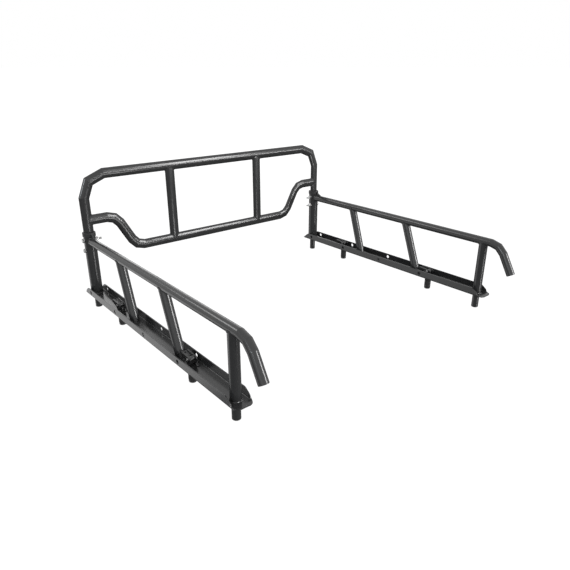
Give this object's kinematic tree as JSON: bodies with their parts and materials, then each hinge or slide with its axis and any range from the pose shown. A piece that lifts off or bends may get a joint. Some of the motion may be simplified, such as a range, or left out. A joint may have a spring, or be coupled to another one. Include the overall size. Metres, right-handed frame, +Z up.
{
  "type": "headache rack",
  "caption": "Tubular headache rack with low side frames, a bolted oval hoop, tie-down channels and quick-release cam anchors.",
  "frame": {"origin": "middle of the whole part in plan, level with the bottoms of the locating pegs", "axes": "+X across the vehicle to its right, +Y forward towards the cab end, +Z up"},
  "size_m": [1.398, 1.3102, 0.6165],
  "materials": {
    "powder_coat": "charcoal black powder coat, satin",
    "lever_coat": "black electro-coat, satin",
    "zinc": "bright zinc plate",
    "moulded_black": "moulded nylon, fine matte",
    "black_rubber": "matte moulded rubber"
  },
  "bodies": {
    "frame": {"hoop_tube": "powder_coat", "lower_bar": "powder_coat", "left_upright": "powder_coat", "right_upright": "powder_coat", "left_base_channel": "powder_coat", "left_front_post": "powder_coat", "left_socket_cap": "moulded_black", "left_top_rail": "powder_coat", "left_rail_gusset": "powder_coat", "left_front_brace": "powder_coat", "left_rear_brace": "powder_coat", "left_rear_post": "powder_coat", "left_rail_end_plug": "moulded_black", "left_front_peg": "powder_coat", "left_rear_peg": "powder_coat", "left_socket_bolts": "zinc", "left_socket_washers": "zinc", "left_socket_nuts": "zinc", "left_front_seat_plate": "powder_coat", "left_front_rubber_sleeve": "black_rubber", "left_rear_seat_plate": "powder_coat", "left_rear_rubber_sleeve": "black_rubber", "right_base_channel": "powder_coat", "right_front_post": "powder_coat", "right_socket_cap": "moulded_black", "right_top_rail": "powder_coat", "right_rail_gusset": "powder_coat", "right_front_brace": "powder_coat", "right_rear_brace": "powder_coat", "right_rear_post": "powder_coat", "right_rail_end_plug": "moulded_black", "right_front_peg": "powder_coat", "right_rear_peg": "powder_coat", "right_socket_bolts": "zinc", "right_socket_washers": "zinc", "right_socket_nuts": "zinc", "right_front_seat_plate": "powder_coat", "right_front_rubber_sleeve": "black_rubber", "right_rear_seat_plate": "powder_coat", "right_rear_rubber_sleeve": "black_rubber"},
    "left_front_rod": {"left_front_draw_rod": "zinc", "left_front_expander_cap": "powder_coat", "left_front_cross_pin": "zinc"},
    "left_front_lever": {"left_front_cam_lever": "lever_coat"},
    "left_rear_rod": {"left_rear_draw_rod": "zinc", "left_rear_expander_cap": "powder_coat", "left_rear_cross_pin": "zinc"},
    "left_rear_lever": {"left_rear_cam_lever": "lever_coat"},
    "right_front_rod": {"right_front_draw_rod": "zinc", "right_front_expander_cap": "powder_coat", "right_front_cross_pin": "zinc"},
    "right_front_lever": {"right_front_cam_lever": "lever_coat"},
    "right_rear_rod": {"right_rear_draw_rod": "zinc", "right_rear_expander_cap": "powder_coat", "right_rear_cross_pin": "zinc"},
    "right_rear_lever": {"right_rear_cam_lever": "lever_coat"}
  },
  "joints": [
    {"name": "left_front_rod_slide", "type": "slide", "parent": "frame", "child": "left_front_rod", "axis": [0, 0, 1], "range_m": [-0.0061, 0], "deforming": ["left_front_rubber_sleeve"]},
    {"name": "left_front_lever_hinge", "type": "hinge", "parent": "left_front_rod", "child": "left_front_lever", "pos_m": [-0.66, 0.34314, 0.0957], "axis": [1, 0, 0], "range_deg": [0, 90]},
    {"name": "left_rear_rod_slide", "type": "slide", "parent": "frame", "child": "left_rear_rod", "axis": [0, 0, 1], "range_m": [-0.0061, 0], "deforming": ["left_rear_rubber_sleeve"]},
    {"name": "left_rear_lever_hinge", "type": "hinge", "parent": "left_rear_rod", "child": "left_rear_lever", "pos_m": [-0.66, -0.23286, 0.0957], "axis": [1, 0, 0], "range_deg": [0, 90]},
    {"name": "right_front_rod_slide", "type": "slide", "parent": "frame", "child": "right_front_rod", "axis": [0, 0, 1], "range_m": [-0.0061, 0], "deforming": ["right_front_rubber_sleeve"]},
    {"name": "right_front_lever_hinge", "type": "hinge", "parent": "right_front_rod", "child": "right_front_lever", "pos_m": [0.66, 0.34314, 0.0957], "axis": [1, 0, 0], "range_deg": [0, 90]},
    {"name": "right_rear_rod_slide", "type": "slide", "parent": "frame", "child": "right_rear_rod", "axis": [0, 0, 1], "range_m": [-0.0061, 0], "deforming": ["right_rear_rubber_sleeve"]},
    {"name": "right_rear_lever_hinge", "type": "hinge", "parent": "right_rear_rod", "child": "right_rear_lever", "pos_m": [0.66, -0.23286, 0.0957], "axis": [1, 0, 0], "range_deg": [0, 90]}
  ],
  "couplings": [
    {"joint": "left_front_rod_slide", "follows": "left_front_lever_hinge", "m_per_rad": -0.00382},
    {"joint": "left_rear_rod_slide", "follows": "left_rear_lever_hinge", "m_per_rad": -0.00382},
    {"joint": "right_front_rod_slide", "follows": "right_front_lever_hinge", "m_per_rad": -0.00382},
    {"joint": "right_rear_rod_slide", "follows": "right_rear_lever_hinge", "m_per_rad": -0.00382}
  ]
}
